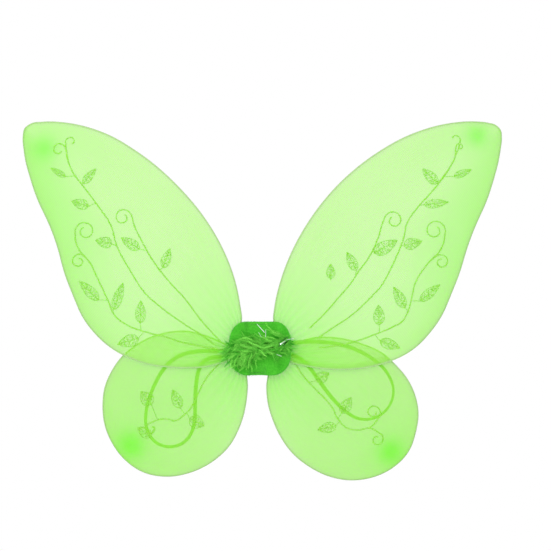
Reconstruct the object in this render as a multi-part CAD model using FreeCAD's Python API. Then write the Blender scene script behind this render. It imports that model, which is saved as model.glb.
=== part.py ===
import FreeCAD, Part
import math
import os

# Child's dress-up fairy wings: four closed wire loops, each in a sheer nylon stocking, meet at a
# bound hub between two felt pads. Millimetres. The wings hang upright as worn: -Y is the decorated
# front, +Y faces the wearer's back, +Z is up. The origin is the middle of the back pad's rear face.

# ---------------------------------------------------------------- driving dimensions
WIRE_D = 1.8                # spring wire in its coating
WIRE_R = WIRE_D / 2
SKIN_CLEARANCE = 0.15       # between wire and nylon
SKIN_WALL = 0.25            # one nylon layer

UPPER_PLANE_Y = -8.2        # the upper wings lie in front of the lower ones
LOWER_PLANE_Y = -5.0

# each wing's two wire legs run side by side through a gathered neck beside the hub
LEG_END_X = 15.4
NECK_X = 19.5
SKIN_MOUTH_X = 15.6         # open end of the stocking
OUTER_LEG_Z = 4.8
INNER_LEG_Z = 2.6

HUB_WIRE_HALF_LENGTH = 11.2
HUB_TAPE_HALF_LENGTH = 10.6
HUB_TAPE_Y = (-9.9, -3.3)
HUB_TAPE_HALF_HEIGHT = 6.6
HUB_TAPE_CORNER = 2.4

TIE_THREAD_R = 0.45
TIE_TURNS_X = (16.4, 17.4, 18.4)
TIE_HALF_DEPTH = 1.95
TIE_HALF_HEIGHT = 3.05
TIE_CORNER = 0.9

PAD_CENTRE_X = 3.0
PAD_HALF_WIDTH = 36.2
PAD_HALF_HEIGHT = 31.5
PAD_TOP_FLAT = 17.0         # half length of the straight top edge
PAD_BOTTOM_FLAT = 14.0
PAD_SIDE_FLAT = 8.0         # half length of the straight sides
BACK_PAD_Y = (-2.0, 0.0)
FRONT_PAD_Y = (-13.8, -10.8)

STITCH_THREAD = 0.8
PAD_STITCH_LENGTH = 4.0
PAD_STITCH_Z = 28.6
PAD_STITCHES_X = {1: (-12.0, -5.0, 2.0, 9.0), -1: (-7.0, 0.0, 7.0)}

STRAP_WIDTH = 4.8
STRAP_THICKNESS = 1.1
STRAP_Y = -3.2              # front face of the elastic
STRAP_STITCH_GAP = 2.6
STRAP_STITCH_LENGTH = 3.6

FEATHER_CORD_R = 1.0
FEATHER_CORD_Y = -17.0
PLUME_BACK_Y = -13.9

TINSEL_WIDTH = 0.9
TINSEL_THICKNESS = 0.15

# ---------------------------------------------------------------- routes, as (x, z)
# Wire centre lines, from the leg beside the centre line, round the tip, to the other leg.
UPPER_LEFT = [(-24.5, 10), (-23.5, 18), (-19.5, 32), (-21.5, 52), (-28, 82), (-40, 113.5),
              (-61.5, 151), (-92, 188), (-136, 226.5), (-183, 253.5), (-222, 264), (-252, 265.5),
              (-266, 263.5), (-273, 258), (-274.8, 249.5), (-273.6, 232), (-263, 190), (-238.6, 132),
              (-221, 75), (-197, 26), (-171, 1), (-138, -15), (-94, -22), (-52, -19), (-34, -12.5),
              (-25.5, -2)]
UPPER_RIGHT = [(24.5, 10), (23.5, 18), (19.5, 32), (21, 50), (27.5, 78), (41, 113.5), (61.5, 150),
               (91.5, 188), (136, 226), (186, 253), (224, 263.5), (256, 265.8), (270, 264.5),
               (280, 261.5), (285, 256), (286, 248), (284.3, 232), (273, 187), (249.6, 130),
               (232, 77), (208, 27), (181.8, -0.6), (143, -18.5), (103, -24), (62, -21),
               (38, -14.5), (26, -2)]
LOWER_LEFT = [(-24, -10), (-22.5, -17), (-15, -26), (-12.8, -38), (-13.5, -58), (-22.3, -93),
              (-33, -113), (-52.5, -131.8), (-77, -144.5), (-107, -150), (-134, -145), (-156.5, -129.6),
              (-171, -110), (-179, -90), (-181.5, -68), (-178.5, -44), (-171, -27), (-158, -9),
              (-139, 6), (-110, 17.5), (-86, 20), (-62, 15), (-38, 5)]
LOWER_RIGHT = [(24, -10), (22.5, -17), (15, -26), (12, -38), (12.6, -62), (18.8, -84),
               (27.5, -103), (41, -122), (62, -139), (85, -150), (111, -154.3), (138.3, -149.9),
               (158.6, -139.8), (177.4, -120.3), (185.5, -98), (188.4, -76), (184.5, -55),
               (176, -37), (161, -19), (148, -7), (121, 5.5), (97, 11.5), (70, 12.5), (40, 5)]

# Elastic arm loops: both ends are sewn between the hub and the back pad.
LEFT_STRAP = [(-26, -3.6), (-47, -3), (-71, -3), (-93, -8), (-110, -22), (-122, -43), (-131, -67),
              (-133, -93), (-122, -112), (-102, -118), (-83, -110), (-73.5, -90), (-74, -63),
              (-72.5, -40), (-69, -22), (-60, -12), (-45, -9.8), (-27, -10.6)]
RIGHT_STRAP = [(28, 5.4), (48, 7.4), (70, 8), (92, 6), (115, -0.5), (136, -12), (153, -27),
               (162, -49), (156, -70), (139, -83.5), (118, -84.5), (99.5, -71.5), (83.5, -54),
               (70.5, -35), (58, -18), (43, -7), (27, -3)]

FEATHER_ROUTE = [(-38, -6), (-26, -6.5), (-13, -4.5), (0, -2), (13, -1), (25, 1), (36, 4)]

# the marabou barbs' soft outline round the cord: x, middle z, half height, half depth
PLUME_STATIONS = [(-45, -5, 4, 3.5), (-41, -4, 10, 6.5), (-32, -3.5, 15, 8.5), (-20, -3, 17, 9),
                  (-8, -2, 13, 8), (4, 0, 10, 7), (16, 0, 9, 6.5), (27, 1, 12, 7.5), (36, 2, 12, 7),
                  (42, 3, 4, 3.5)]

# start (x, y, z), heading in the plane of the pad, lean off the pad (degrees), length, curl radius
TINSEL = [((4.0, -14.6, 15.0), 112, 10, 17.0, 40.0),
          ((6.5, -14.6, 15.5), 96, 16, 13.0, 25.0),
          ((1.5, -14.6, 15.0), 131, 14, 15.0, 30.0),
          ((23.0, -26.0, 5.0), 38, -6, 17.0, 45.0),
          ((25.0, -26.6, 3.0), 28, -4, 18.0, 60.0),
          ((27.0, -25.8, 1.0), 8, -8, 14.0, 28.0)]


# ---------------------------------------------------------------- plane curves
def at(point, y):
    """The space point of an (x, z) pair in the plane y."""
    return FreeCAD.Vector(point[0], y, point[1])


def minus(a, b):
    return (a[0] - b[0], a[1] - b[1])


def dot(a, b):
    return a[0] * b[0] + a[1] * b[1]


def unit(a):
    size = math.hypot(a[0], a[1])
    return (a[0] / size, a[1] / size)


def tangent_through(before, here, after):
    """Direction at here of the circle through three neighbouring points."""
    into = minus(here, before)
    out = minus(after, here)
    weight_in = 1 / dot(into, into)
    weight_out = 1 / dot(out, out)
    return unit((into[0] * weight_in + out[0] * weight_out, into[1] * weight_in + out[1] * weight_out))


def arc_from(start, heading, end, y):
    """The arc that leaves start along heading and reaches end, or a line when it is straight."""
    chord = minus(end, start)
    length = math.hypot(chord[0], chord[1])
    side = heading[0] * chord[1] - heading[1] * chord[0]
    angle = math.atan2(abs(side), dot(heading, chord))
    if angle < 1e-4:
        return Part.LineSegment(at(start, y), at(end, y)).toShape()
    rise = 0.5 * length * math.tan(angle / 2)
    turn = 1 if side > 0 else -1
    middle = ((start[0] + end[0]) / 2 + turn * rise * chord[1] / length,
              (start[1] + end[1]) / 2 - turn * rise * chord[0] / length)
    return Part.Arc(at(start, y), at(middle, y), at(end, y)).toShape()


def biarc(start, heading, end, arrival, y):
    """Two tangent arcs from start along heading to end along arrival."""
    chord = minus(end, start)
    both = (heading[0] + arrival[0], heading[1] + arrival[1])
    spread = 2 * (1 - dot(heading, arrival))
    along = dot(chord, both)
    square = dot(chord, chord)
    if spread < 1e-9:
        reach = square / (4 * dot(chord, arrival))
    else:
        reach = (math.sqrt(along * along + spread * square) - along) / spread
    joint = tuple((start[i] + end[i] + reach * (heading[i] - arrival[i])) / 2 for i in (0, 1))
    back = (-arrival[0], -arrival[1])
    return [arc_from(start, heading, joint, y), arc_from(end, back, joint, y)]


def smooth_run(points, heading, arrival, y):
    """Tangent arcs through every point, with stated directions at both ends."""
    directions = [heading]
    for before, here, after in zip(points, points[1:], points[2:]):
        directions.append(tangent_through(before, here, after))
    directions.append(arrival)
    edges = []
    for i in range(len(points) - 1):
        edges += biarc(points[i], directions[i], points[i + 1], directions[i + 1], y)
    return edges


def rounded_route(points, name):
    """Straight runs joined by tangent arcs, as (x, z) edges in the plane y = 0, and its length."""
    edges = []
    radii = []
    last = points[0]
    for before, corner, after in zip(points, points[1:], points[2:]):
        into = unit(minus(corner, before))
        out = unit(minus(after, corner))
        shorter = min(math.dist(before, corner), math.dist(corner, after))
        half_turn = math.acos(max(-1.0, min(1.0, dot(into, out)))) / 2
        cut = 0.45 * shorter
        radii.append(cut / math.tan(half_turn))
        first = (corner[0] - into[0] * cut, corner[1] - into[1] * cut)
        second = (corner[0] + out[0] * cut, corner[1] + out[1] * cut)
        edges.append(Part.LineSegment(at(last, 0), at(first, 0)).toShape())
        edges.append(arc_from(first, into, second, 0))
        last = second
    edges.append(Part.LineSegment(at(last, 0), at(points[-1], 0)).toShape())
    length = sum(edge.Length for edge in edges)
    print(name, "length", round(length, 1), "tightest radius", round(min(radii), 1))
    return edges, length


def swept_round(edges, radius):
    """A round bar along tangent edges."""
    spine = Part.Wire(Part.__sortEdges__(edges))
    start = spine.OrderedVertexes[0].Point
    first = spine.OrderedEdges[0]
    tangent = first.tangentAt(first.FirstParameter)
    if start.distanceToPoint(first.valueAt(first.FirstParameter)) > 1e-6:
        tangent = first.tangentAt(first.LastParameter)
    section = Part.Wire([Part.Circle(start, tangent, radius).toShape()])
    solid = spine.makePipeShell([section], True, False)
    print("   bar volume over section x length:",
          round(solid.Volume / (math.pi * radius ** 2 * spine.Length), 4))
    return solid


def slab(edges, low_y, high_y):
    """The face inside a closed run of edges in the plane y = 0, thickened from low_y to high_y."""
    wire = Part.Wire(Part.__sortEdges__(edges))
    face = Part.Face(wire)
    solid = face.extrude(FreeCAD.Vector(0, high_y - low_y, 0))
    solid.translate(FreeCAD.Vector(0, low_y, 0))
    return solid


def export(name, shape):
    solids = shape.Solids
    if not solids or not all(solid.isValid() for solid in solids):
        raise ValueError(name + " is not a set of valid solids")
    whole = solids[0] if len(solids) == 1 else Part.makeCompound(solids)
    whole.exportStep("parts/" + name + ".step")
    print(name, len(solids), "solids", round(shape.Volume, 1), "mm3")


# ---------------------------------------------------------------- wings
def wing_path(points, side, level, y):
    """The wing's whole wire: leg, loop, leg. side is -1 left or 1 right, level 1 upper or -1 lower."""
    outer_z = level * OUTER_LEG_Z
    inner_z = level * INNER_LEG_Z
    outer_end = (side * LEG_END_X, outer_z)
    inner_end = (side * LEG_END_X, inner_z)
    outer_neck = (side * NECK_X, outer_z)
    inner_neck = (side * NECK_X, inner_z)
    loop = smooth_run([outer_neck] + points + [inner_neck], (side, 0), (-side, 0), y)
    leg_out = Part.LineSegment(at(outer_end, y), at(outer_neck, y)).toShape()
    leg_in = Part.LineSegment(at(inner_neck, y), at(inner_end, y)).toShape()
    return [leg_out] + loop + [leg_in], outer_end, inner_end


def wire_frame(points, side, level, y):
    edges, _, _ = wing_path(points, side, level, y)
    return swept_round(edges, WIRE_R)


def nylon_skin(points, side, level, y):
    """The stocking: a flat envelope round the wire, open at its gathered mouth."""
    edges, outer_end, inner_end = wing_path(points, side, level, 0)
    edges.append(Part.LineSegment(at(inner_end, 0), at(outer_end, 0)).toShape())
    loop = Part.Wire(Part.__sortEdges__(edges))
    inside = WIRE_R + SKIN_CLEARANCE
    outside = inside + SKIN_WALL
    outer = slab(loop.makeOffset2D(outside, 0, False, False).Edges, y - outside, y + outside)
    cavity = slab(loop.makeOffset2D(inside, 0, False, False).Edges, y - inside, y + inside)
    middle_z = level * (OUTER_LEG_Z + INNER_LEG_Z) / 2
    beyond_mouth = Part.makeBox(2 * SKIN_MOUTH_X, 4 * outside, 10 * outside,
                                FreeCAD.Vector(-SKIN_MOUTH_X, y - 2 * outside, middle_z - 5 * outside))
    return outer.cut(cavity).cut(beyond_mouth)


def tie_turn(x, y, z):
    """One turn of thread round a stocking's neck: a rounded rectangle in the plane across X."""
    depth = TIE_HALF_DEPTH
    height = TIE_HALF_HEIGHT
    corner = TIE_CORNER
    bend = corner * (1 - math.sqrt(0.5))
    edges = []
    for turn_y, turn_z in ((1, 1), (-1, 1), (-1, -1), (1, -1)):
        side_point = FreeCAD.Vector(x, y + turn_y * depth, z + turn_z * (height - corner))
        middle = FreeCAD.Vector(x, y + turn_y * (depth - bend), z + turn_z * (height - bend))
        top_point = FreeCAD.Vector(x, y + turn_y * (depth - corner), z + turn_z * height)
        edges.append(Part.Arc(side_point, middle, top_point).toShape())
    for sign in (1, -1):
        edges.append(Part.LineSegment(FreeCAD.Vector(x, y - depth + corner, z + sign * height),
                                      FreeCAD.Vector(x, y + depth - corner, z + sign * height)).toShape())
        edges.append(Part.LineSegment(FreeCAD.Vector(x, y + sign * depth, z - height + corner),
                                      FreeCAD.Vector(x, y + sign * depth, z + height - corner)).toShape())
    return swept_round(edges, TIE_THREAD_R)


def gather_tie(side, level, y):
    centre_z = level * (OUTER_LEG_Z + INNER_LEG_Z) / 2
    return Part.makeCompound([tie_turn(side * x, y, centre_z) for x in TIE_TURNS_X])


# ---------------------------------------------------------------- hub
def hub_wires():
    """The middles of the four wires, which run from a left wing through the binding to a right one."""
    bars = []
    for level, y in ((1, UPPER_PLANE_Y), (-1, LOWER_PLANE_Y)):
        for leg_z in (OUTER_LEG_Z, INNER_LEG_Z):
            bars.append(Part.makeCylinder(WIRE_R, 2 * HUB_WIRE_HALF_LENGTH,
                                          FreeCAD.Vector(-HUB_WIRE_HALF_LENGTH, y, level * leg_z),
                                          FreeCAD.Vector(1, 0, 0)))
    return Part.makeCompound(bars)


def tape_binding(wires):
    low_y, high_y = HUB_TAPE_Y
    block = Part.makeBox(2 * HUB_TAPE_HALF_LENGTH, high_y - low_y, 2 * HUB_TAPE_HALF_HEIGHT,
                         FreeCAD.Vector(-HUB_TAPE_HALF_LENGTH, low_y, -HUB_TAPE_HALF_HEIGHT))
    long_edges = [edge for edge in block.Edges if abs(edge.tangentAt(0).x) > 0.9]
    return block.makeFillet(HUB_TAPE_CORNER, long_edges).cut(wires)


# ---------------------------------------------------------------- pads
def pad(low_y, high_y):
    """A felt pad: an octagon with bowed corners, straight where the wings leave it bare."""
    corners = []
    for side in (1, -1):
        top = (PAD_CENTRE_X + side * PAD_TOP_FLAT, PAD_HALF_HEIGHT)
        upper = (PAD_CENTRE_X + side * PAD_HALF_WIDTH, PAD_SIDE_FLAT)
        lower = (PAD_CENTRE_X + side * PAD_HALF_WIDTH, -PAD_SIDE_FLAT)
        bottom = (PAD_CENTRE_X + side * PAD_BOTTOM_FLAT, -PAD_HALF_HEIGHT)
        corners.append((top, upper, lower, bottom))
    right, left = corners
    edges = smooth_run([right[0], right[1]], (1, 0), (0, -1), 0)
    edges.append(Part.LineSegment(at(right[1], 0), at(right[2], 0)).toShape())
    edges += smooth_run([right[2], right[3]], (0, -1), (-1, 0), 0)
    edges.append(Part.LineSegment(at(right[3], 0), at(left[3], 0)).toShape())
    edges += smooth_run([left[3], left[2]], (-1, 0), (0, 1), 0)
    edges.append(Part.LineSegment(at(left[2], 0), at(left[1], 0)).toShape())
    edges += smooth_run([left[1], left[0]], (0, 1), (1, 0), 0)
    edges.append(Part.LineSegment(at(left[0], 0), at(right[0], 0)).toShape())
    return slab(edges, low_y, high_y)


def staple(x, z, length, low_y, high_y, across):
    """One loop of thread through a stack: two bars flush with the outer faces and two legs."""
    t = STITCH_THREAD
    along = (length, t) if across == "x" else (t, length)
    outer = Part.makeBox(along[0], high_y - low_y, along[1],
                         FreeCAD.Vector(x - along[0] / 2, low_y, z - along[1] / 2))
    hole = (length - 2 * t, t) if across == "x" else (t, length - 2 * t)
    inner = Part.makeBox(hole[0], high_y - low_y - 2 * t, hole[1],
                         FreeCAD.Vector(x - hole[0] / 2, low_y + t, z - hole[1] / 2))
    return outer.cut(inner)


def pad_stitching():
    loops = []
    for level in PAD_STITCHES_X:
        for x in PAD_STITCHES_X[level]:
            loops.append(staple(x, level * PAD_STITCH_Z, PAD_STITCH_LENGTH,
                                FRONT_PAD_Y[0], BACK_PAD_Y[1], "x"))
    return Part.makeCompound(loops)


# ---------------------------------------------------------------- arm loops
def strap(points, name):
    """A flat elastic band laid on its wide face, its edges parallel to one route."""
    edges, length = rounded_route(points, name)
    spine = Part.Wire(Part.__sortEdges__(edges))
    outline = spine.makeOffset2D(STRAP_WIDTH / 2, 0, False, True)
    other = spine.makeOffset2D(-STRAP_WIDTH / 2, 0, False, True)
    first = outline.OrderedVertexes
    second = other.OrderedVertexes
    caps = []
    for start in (first[0].Point, first[-1].Point):
        nearest = min((second[0].Point, second[-1].Point), key=start.distanceToPoint)
        caps.append(Part.LineSegment(start, nearest).toShape())
    band = slab(outline.Edges + other.Edges + caps, STRAP_Y, STRAP_Y + STRAP_THICKNESS)
    print("   band volume over section x length:",
          round(band.Volume / (STRAP_WIDTH * STRAP_THICKNESS * length), 4))
    return band


def strap_stitching(points):
    """Two thread loops through each sewn end and the back pad."""
    loops = []
    for end, inner in ((points[0], points[1]), (points[-1], points[-2])):
        outward = unit(minus(inner, end))
        for i in (1, 2):
            centre = (end[0] + outward[0] * STRAP_STITCH_GAP * i, end[1] + outward[1] * STRAP_STITCH_GAP * i)
            loops.append(staple(*centre, STRAP_STITCH_LENGTH, STRAP_Y, BACK_PAD_Y[1], "z"))
    return Part.makeCompound(loops)


# ---------------------------------------------------------------- trim
def feather_route():
    edges, _ = rounded_route(FEATHER_ROUTE, "feather_cord")
    for edge in edges:
        edge.translate(FreeCAD.Vector(0, FEATHER_CORD_Y, 0))
    return edges


def feather_plumes(cord):
    """The soft outline of the marabou barbs, flat where it lies on the front pad."""
    sections = []
    for x, z, half_height, half_depth in PLUME_STATIONS:
        centre = FreeCAD.Vector(x, FEATHER_CORD_Y, z)
        top = centre + FreeCAD.Vector(0, 0, half_height)
        front = centre + FreeCAD.Vector(0, -half_depth, 0)
        sections.append(Part.Wire([Part.Ellipse(top, front, centre).toShape()]))
    fluff = Part.makeLoft(sections, True, False)
    behind = Part.makeBox(200, 40, 200, FreeCAD.Vector(-100, PLUME_BACK_Y, -100))
    return fluff.cut(behind).cut(cord)


def tinsel_strand(start, heading, lean, length, radius):
    """A thin flat strand on an arc that starts at start and curls off the pad."""
    sweep = length / radius
    half = TINSEL_THICKNESS / 2
    outer = Part.Face(Part.Wire(Part.__sortEdges__([
        Part.Arc(*[FreeCAD.Vector((radius + half) * math.sin(sweep * f),
                                  (radius + half) * (math.cos(sweep * f)) - radius, 0)
                   for f in (0, 0.5, 1)]).toShape(),
        Part.Arc(*[FreeCAD.Vector((radius - half) * math.sin(sweep * f),
                                  (radius - half) * (math.cos(sweep * f)) - radius, 0)
                   for f in (0, 0.5, 1)]).toShape(),
        Part.LineSegment(FreeCAD.Vector(0, half, 0), FreeCAD.Vector(0, -half, 0)).toShape(),
        Part.LineSegment(FreeCAD.Vector((radius + half) * math.sin(sweep),
                                        (radius + half) * math.cos(sweep) - radius, 0),
                         FreeCAD.Vector((radius - half) * math.sin(sweep),
                                        (radius - half) * math.cos(sweep) - radius, 0)).toShape()])))
    strand = outer.extrude(FreeCAD.Vector(0, 0, TINSEL_WIDTH))
    strand.rotate(FreeCAD.Vector(0, 0, 0), FreeCAD.Vector(0, 0, 1), -lean)
    strand.rotate(FreeCAD.Vector(0, 0, 0), FreeCAD.Vector(0, 1, 0), -heading)
    strand.translate(FreeCAD.Vector(*start))
    return strand


# ---------------------------------------------------------------- the object
os.makedirs("parts", exist_ok=True)

WINGS = [("upper_left", UPPER_LEFT, -1, 1, UPPER_PLANE_Y),
         ("upper_right", UPPER_RIGHT, 1, 1, UPPER_PLANE_Y),
         ("lower_left", LOWER_LEFT, -1, -1, LOWER_PLANE_Y),
         ("lower_right", LOWER_RIGHT, 1, -1, LOWER_PLANE_Y)]
for wing, points, side, level, plane in WINGS:
    export(wing + "_wire_frame", wire_frame(points, side, level, plane))
    export(wing + "_nylon_skin", nylon_skin(points, side, level, plane))
    export(wing + "_gather_tie", gather_tie(side, level, plane))

bound_wires = hub_wires()
export("hub_wires", bound_wires)
export("hub_tape_binding", tape_binding(bound_wires))

stitches = pad_stitching()
left_stitches = strap_stitching(LEFT_STRAP)
right_stitches = strap_stitching(RIGHT_STRAP)
export("front_felt_pad", pad(*FRONT_PAD_Y).cut(stitches))
export("back_felt_pad", pad(*BACK_PAD_Y).cut(stitches).cut(left_stitches).cut(right_stitches))
export("pad_stitching", stitches)

export("left_arm_loop", strap(LEFT_STRAP, "left_arm_loop").cut(left_stitches))
export("right_arm_loop", strap(RIGHT_STRAP, "right_arm_loop").cut(right_stitches))
export("left_arm_loop_stitching", left_stitches)
export("right_arm_loop_stitching", right_stitches)

cord = swept_round(feather_route(), FEATHER_CORD_R)
export("feather_cord", cord)
export("feather_plumes", feather_plumes(cord))
export("tinsel_strands", Part.makeCompound([tinsel_strand(*strand) for strand in TINSEL]))
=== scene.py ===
import math
import random
from contextlib import contextmanager

import bmesh
import bpy
import numpy as np
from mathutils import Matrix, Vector, noise
from mathutils.bvhtree import BVHTree


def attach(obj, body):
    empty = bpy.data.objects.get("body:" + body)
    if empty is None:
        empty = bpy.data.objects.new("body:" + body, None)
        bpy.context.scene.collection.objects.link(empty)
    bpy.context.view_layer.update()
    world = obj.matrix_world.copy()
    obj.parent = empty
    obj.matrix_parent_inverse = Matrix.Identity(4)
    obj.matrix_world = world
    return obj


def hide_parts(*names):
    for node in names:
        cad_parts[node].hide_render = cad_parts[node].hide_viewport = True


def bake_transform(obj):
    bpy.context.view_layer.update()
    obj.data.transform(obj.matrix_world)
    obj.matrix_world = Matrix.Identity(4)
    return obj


# Fairy wings: sheer green nylon on wire loops, a felt hub with marabou and tinsel, two arm loops.
# Routes and sizes are in millimetres, as in the CAD, and are turned into metres when meshes are made.

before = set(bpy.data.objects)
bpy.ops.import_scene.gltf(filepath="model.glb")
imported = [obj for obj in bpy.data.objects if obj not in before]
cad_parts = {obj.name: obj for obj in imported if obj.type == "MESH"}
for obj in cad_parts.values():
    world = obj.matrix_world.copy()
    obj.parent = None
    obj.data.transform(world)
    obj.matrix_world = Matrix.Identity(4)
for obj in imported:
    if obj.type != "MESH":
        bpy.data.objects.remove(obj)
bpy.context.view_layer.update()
MM = 0.001
SEAM = 2e-6                 # mesh points nearer than this are one point, metres

# ---- sizes, millimetres
WIRE_R = 0.9
SKIN_R = 1.15               # from the wire's centre line to the middle of the nylon
UPPER_PLANE_Y = -8.2
LOWER_PLANE_Y = -5.0
LEG_END_X = 15.4
NECK_X = 19.5
OUTER_LEG_Z = 4.8
INNER_LEG_Z = 2.6
ROOT_Z = 3.7                # middle of the gathered root, above or below the hub's middle

PAD_CENTRE_X = 3.0
PAD_HALF_WIDTH = 36.2
PAD_HALF_HEIGHT = 31.5
PAD_TOP_FLAT = 17.0
PAD_BOTTOM_FLAT = 14.0
PAD_SIDE_FLAT = 8.0
FRONT_PAD_Y = (-13.8, -10.8)
BACK_PAD_Y = (-2.0, 0.0)

STRAP_WIDTH = 4.8
STRAP_THICKNESS = 1.1
STRAP_Y = -2.65

SIDE_NAMES = {-1: "left", 1: "right"}

# ---- routes, as (x, z)
UPPER_LEFT = [
    (-24.5, 10), (-23.5, 18), (-19.5, 32), (-21.5, 52), (-28, 82), (-40, 113.5), (-61.5, 151), (-92, 188),
    (-136, 226.5), (-183, 253.5), (-222, 264), (-252, 265.5), (-266, 263.5), (-273, 258), (-274.8, 249.5),
    (-273.6, 232), (-263, 190), (-238.6, 132), (-221, 75), (-197, 26), (-171, 1), (-138, -15), (-94, -22),
    (-52, -19), (-34, -12.5), (-25.5, -2)]
UPPER_RIGHT = [
    (24.5, 10), (23.5, 18), (19.5, 32), (21, 50), (27.5, 78), (41, 113.5), (61.5, 150), (91.5, 188),
    (136, 226), (186, 253), (224, 263.5), (256, 265.8), (270, 264.5), (280, 261.5), (285, 256), (286, 248),
    (284.3, 232), (273, 187), (249.6, 130), (232, 77), (208, 27), (181.8, -0.6), (143, -18.5), (103, -24),
    (62, -21), (38, -14.5), (26, -2)]
LOWER_LEFT = [
    (-24, -10), (-22.5, -17), (-15, -26), (-12.8, -38), (-13.5, -58), (-22.3, -93), (-33, -113),
    (-52.5, -131.8), (-77, -144.5), (-107, -150), (-134, -145), (-156.5, -129.6), (-171, -110), (-179, -90),
    (-181.5, -68), (-178.5, -44), (-171, -27), (-158, -9), (-139, 6), (-110, 17.5), (-86, 20), (-62, 15),
    (-38, 5)]
LOWER_RIGHT = [
    (24, -10), (22.5, -17), (15, -26), (12, -38), (12.6, -62), (18.8, -84), (27.5, -103), (41, -122),
    (62, -139), (85, -150), (111, -154.3), (138.3, -149.9), (158.6, -139.8), (177.4, -120.3), (185.5, -98),
    (188.4, -76), (184.5, -55), (176, -37), (161, -19), (148, -7), (121, 5.5), (97, 11.5), (70, 12.5),
    (40, 5)]

LEFT_STRAP = [
    (-26, -3.6), (-47, -3), (-71, -3), (-93, -8), (-110, -22), (-122, -43), (-131, -67), (-133, -93),
    (-122, -112), (-102, -118), (-83, -110), (-73.5, -90), (-74, -63), (-72.5, -40), (-69, -22), (-60, -12),
    (-45, -9.8), (-27, -10.6)]
RIGHT_STRAP = [
    (28, 5.4), (48, 7.4), (70, 8), (92, 6), (115, -0.5), (136, -12), (153, -27), (162, -49), (156, -70),
    (139, -83.5), (118, -84.5), (99.5, -71.5), (83.5, -54), (70.5, -35), (58, -18), (43, -7), (27, -3)]

# Glitter vines: stems from the root outwards, each with curls (sense, first radius, turn in degrees)
# that leave its end, then leaves as (tip, base, width, where the stalk meets the stem).
VINES = {
    "upper_left": {
        "stems": [
            ([(-50, 4), (-64, 15), (-85, 28), (-109, 45), (-132, 65), (-150, 92), (-165, 120),
              (-173, 146), (-187, 167), (-205, 191), (-217, 207), (-223, 222), (-225, 234)],
             [(1, 8.5, 330)]),
            ([(-223, 222), (-225, 234), (-225.5, 242)], [(-1, 6.5, 250)]),
            ([(-44, 9), (-62, 28), (-85, 58), (-105, 80), (-120, 99), (-130, 115), (-138, 130),
              (-145, 145), (-148, 156)], [(1, 10.5, 400)]),
            ([(-45, -1), (-68, 3), (-91, 8), (-109, 14), (-126, 18), (-150, 26), (-167, 38),
              (-176, 57), (-189, 85), (-197, 101), (-203, 108)], [(1, 9, 400)]),
            ([(-203, 108), (-209, 115), (-213.5, 125), (-214.5, 136)], [(-1, 12, 430)])],
        "leaves": [((-243, 212), (-226, 202), 7, (-213, 203)), ((-190, 211), (-205, 194), 9, (-207, 192)),
                   ((-218, 173), (-199, 167), 12, (-190, 171)), ((-190, 127), (-171, 123), 13, (-165, 120)),
                   ((-160, 130), (-139, 117), 12, (-130, 115)), ((-103, 117), (-111, 95), 11, (-116, 92)),
                   ((-209, 79), (-187, 57), 12, (-177, 57)), ((-158, 77), (-169, 46), 11, (-170, 42)),
                   ((-137, 56), (-138, 30), 12, (-137, 22)), ((-164, 5), (-140, 12), 14, (-133, 20))]},
    "upper_right": {
        "stems": [
            ([(61, 24), (73, 35), (85, 48), (97, 62), (109, 76), (119, 91), (130, 106), (138, 121),
              (143, 134), (146, 145), (149.5, 154)], [(-1, 11, 400)]),
            ([(71, 12), (85, 22), (109, 38), (132, 59), (144, 72), (159, 99), (170, 125), (177, 150),
              (189, 167), (203, 182), (216, 198), (225, 211), (232, 226), (233, 237)],
             [(-1, 4.5, 330)]),
            ([(232, 226), (236, 235), (238, 243)], [(1, 7, 170)]),
            ([(213, 195), (219, 203), (226, 213)], []),
            ([(73, 1), (97, 4), (120, 10), (139, 17), (158, 25), (170, 32), (177, 44), (181, 59),
              (185, 76), (194, 92), (203, 103), (210, 108.5)], [(-1, 9, 400)]),
            ([(205, 105), (213, 113), (218.5, 124), (220.5, 136)], [(1, 12.5, 430)])],
        "leaves": [((105, 113), (116, 92), 11, (115, 84)), ((164, 127), (137, 112), 15, (136, 117)),
                   ((86, 99), (86, 82), 10, (86, 80)), ((194, 211), (211, 194), 12, (214, 197)),
                   ((251, 210), (231, 202), 8, (219, 202)), ((224, 172), (196, 169), 10, (190, 168)),
                   ((193, 126), (172, 121), 13, (169, 121)), ((160, 72), (173, 48), 12, (178, 43)),
                   ((214, 75), (191, 56), 11, (183, 56)), ((142, 51), (143, 28), 13, (143, 19)),
                   ((167, 1), (144, 9), 12, (138, 16))]},
    "lower_left": {
        "stems": [
            ([(-44, -17), (-55, -28), (-62, -38), (-69, -51), (-76, -66), (-86, -78), (-97, -85),
              (-107, -83), (-117, -84), (-127, -88)], [(1, 7, 330)])],
        "leaves": [((-100, -49), (-91, -70), 12, (-86, -77)), ((-63, -91), (-80, -83), 15, (-83, -76)),
                   ((-137, -51), (-125, -66), 15, (-118, -83)),
                   ((-141, -93), (-126, -104), 12, (-121, -92))]},
    "lower_right": {
        "stems": [
            ([(43, -15), (50, -27), (57, -36), (68, -48), (79, -59), (88, -70), (94, -82), (104, -93),
              (118, -96), (133, -94), (144, -100)], [(-1, 8, 350)]),
            ([(131, -94), (137, -89), (143, -81)], [(1, 9, 400)])],
        "leaves": [((71, -96), (92, -91), 12, (96, -86)), ((110, -58), (99, -76), 13, (95, -82)),
                   ((84, -29), (69, -38), 13, (60, -40))]}}

# where the dye took more strongly: (x, z, reach) on each wing
DYE_SPOTS = {"upper_left": (-250, 236, 15), "upper_right": (258, 250, 13),
             "lower_left": (-149, -114, 17), "lower_right": (157, -122, 16)}

FEATHER_ROUTE = [(-38, -6), (-26, -6.5), (-13, -4.5), (0, -2), (13, -1), (25, 1), (36, 4)]
FEATHER_Y = -17.0


# ---- plane curves
def minus(a, b):
    return (a[0] - b[0], a[1] - b[1])


def dot(a, b):
    return a[0] * b[0] + a[1] * b[1]


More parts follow.
